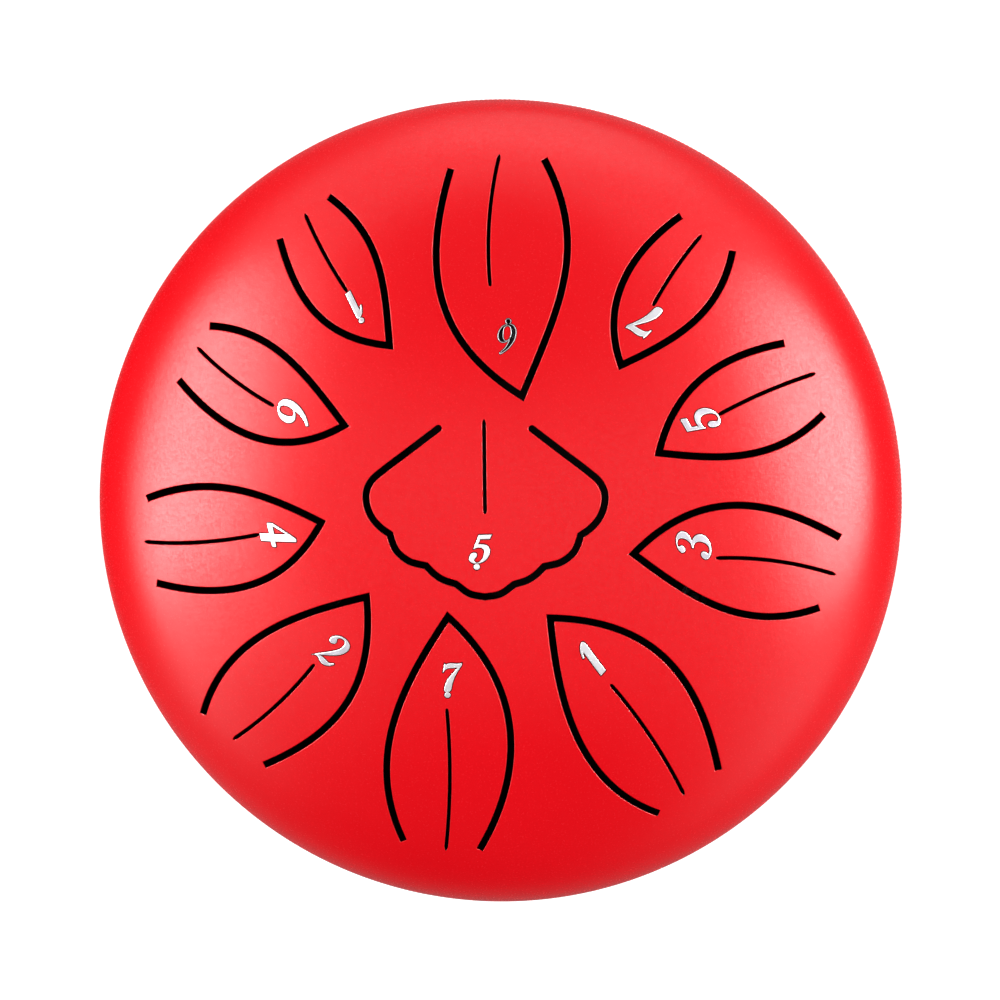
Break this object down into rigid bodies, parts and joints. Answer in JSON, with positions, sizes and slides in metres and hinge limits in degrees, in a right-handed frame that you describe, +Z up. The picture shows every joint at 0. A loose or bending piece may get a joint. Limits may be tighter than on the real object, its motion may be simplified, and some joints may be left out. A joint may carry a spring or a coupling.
{
  "type": "steel tongue drum",
  "caption": "Round steel tongue drum: two joined domed bowls, leaf tongues in a ring round a scalloped centre tongue, vein slits, numerals, sound hole and rubber feet.",
  "frame": {"origin": "centre of the drum on the floor plane under the feet", "axes": "+Z up through the dome's apex, +Y away from the player, the lowest side note's tongue points along +Y, player at -Y"},
  "size_m": [0.2546, 0.2546, 0.1274],
  "materials": {
    "red_powder_coat": "satin red powder coat with a fine orange-peel grain on 1.8 mm steel sheet",
    "silver_foil": "bright silver foil numerals, slightly raised, mirror-like",
    "black_rubber": "matt black moulded rubber",
    "black_zinc_steel": "black zinc-plated steel fasteners"
  },
  "bodies": {
    "drum_body": {"upper_bowl": "red_powder_coat", "lower_bowl": "red_powder_coat", "seam_weld": "red_powder_coat", "foot_1": "black_rubber", "foot_washer_1": "black_zinc_steel", "foot_screw_1": "black_zinc_steel", "inner_washer_1": "black_zinc_steel", "foot_nut_1": "black_zinc_steel", "foot_2": "black_rubber", "foot_washer_2": "black_zinc_steel", "foot_screw_2": "black_zinc_steel", "inner_washer_2": "black_zinc_steel", "foot_nut_2": "black_zinc_steel", "foot_3": "black_rubber", "foot_washer_3": "black_zinc_steel", "foot_screw_3": "black_zinc_steel", "inner_washer_3": "black_zinc_steel", "foot_nut_3": "black_zinc_steel"},
    "note_low_5": {"tongue_low_5": "red_powder_coat", "number_low_5": "silver_foil"},
    "note_low_6": {"tongue_low_6": "red_powder_coat", "number_low_6": "silver_foil"},
    "note_low_7": {"tongue_low_7": "red_powder_coat", "number_low_7": "silver_foil"},
    "note_1": {"tongue_1": "red_powder_coat", "number_1": "silver_foil"},
    "note_2": {"tongue_2": "red_powder_coat", "number_2": "silver_foil"},
    "note_3": {"tongue_3": "red_powder_coat", "number_3": "silver_foil"},
    "note_4": {"tongue_4": "red_powder_coat", "number_4": "silver_foil"},
    "note_5": {"tongue_5": "red_powder_coat", "number_5": "silver_foil"},
    "note_6": {"tongue_6": "red_powder_coat", "number_6": "silver_foil"},
    "note_7": {"tongue_7": "red_powder_coat", "number_7": "silver_foil"},
    "note_high_1": {"tongue_high_1": "red_powder_coat", "number_high_1": "silver_foil"}
  },
  "joints": [
    {"name": "flex_low_5", "type": "hinge", "parent": "drum_body", "child": "note_low_5", "pos_m": [-0.00035, 0.03013, 0.12505], "axis": [-1, 0, -0.0009], "range_deg": [-0.5, 0.5], "stiffness_Nm_per_rad": 1.35},
    {"name": "flex_low_6", "type": "hinge", "parent": "drum_body", "child": "note_low_6", "pos_m": [0.00149, 0.10992, 0.10177], "axis": [-0.9906, -0.103, 0.0903], "range_deg": [-0.4, 0.4], "stiffness_Nm_per_rad": 1.832},
    {"name": "flex_low_7", "type": "hinge", "parent": "drum_body", "child": "note_low_7", "pos_m": [-0.01563, -0.10676, 0.10332], "axis": [0.9945, -0.1002, 0.0317], "range_deg": [-0.4, 0.4], "stiffness_Nm_per_rad": 1.841},
    {"name": "flex_1", "type": "hinge", "parent": "drum_body", "child": "note_1", "pos_m": [0.0618, -0.08786, 0.10367], "axis": [0.8016, 0.5976, 0.0191], "range_deg": [-0.35, 0.35], "stiffness_Nm_per_rad": 1.479},
    {"name": "flex_2", "type": "hinge", "parent": "drum_body", "child": "note_2", "pos_m": [-0.08115, -0.07309, 0.10235], "axis": [0.7771, -0.6173, 0.1227], "range_deg": [-0.35, 0.35], "stiffness_Nm_per_rad": 1.051},
    {"name": "flex_3", "type": "hinge", "parent": "drum_body", "child": "note_3", "pos_m": [0.10673, -0.01958, 0.1029], "axis": [0.2773, 0.9581, -0.0721], "range_deg": [-0.35, 0.35], "stiffness_Nm_per_rad": 0.914},
    {"name": "flex_4", "type": "hinge", "parent": "drum_body", "child": "note_4", "pos_m": [-0.10885, -0.01055, 0.10224], "axis": [0.1128, -0.9935, 0.0124], "range_deg": [-0.35, 0.35], "stiffness_Nm_per_rad": 0.748},
    {"name": "flex_5", "type": "hinge", "parent": "drum_body", "child": "note_5", "pos_m": [0.1, 0.04309, 0.1026], "axis": [-0.4839, 0.8721, 0.0731], "range_deg": [-0.3, 0.3], "stiffness_Nm_per_rad": 0.508},
    {"name": "flex_6", "type": "hinge", "parent": "drum_body", "child": "note_6", "pos_m": [-0.09271, 0.04879, 0.10543], "axis": [-0.504, -0.8632, -0.0275], "range_deg": [-0.3, 0.3], "stiffness_Nm_per_rad": 0.493},
    {"name": "flex_7", "type": "hinge", "parent": "drum_body", "child": "note_7", "pos_m": [0.06666, 0.08603, 0.10271], "axis": [-0.8263, 0.5613, 0.0454], "range_deg": [-0.3, 0.3], "stiffness_Nm_per_rad": 0.335},
    {"name": "flex_high_1", "type": "hinge", "parent": "drum_body", "child": "note_high_1", "pos_m": [-0.05885, 0.09103, 0.10301], "axis": [-0.7539, -0.6497, 0.0976], "range_deg": [-0.3, 0.3], "stiffness_Nm_per_rad": 0.347}
  ]
}
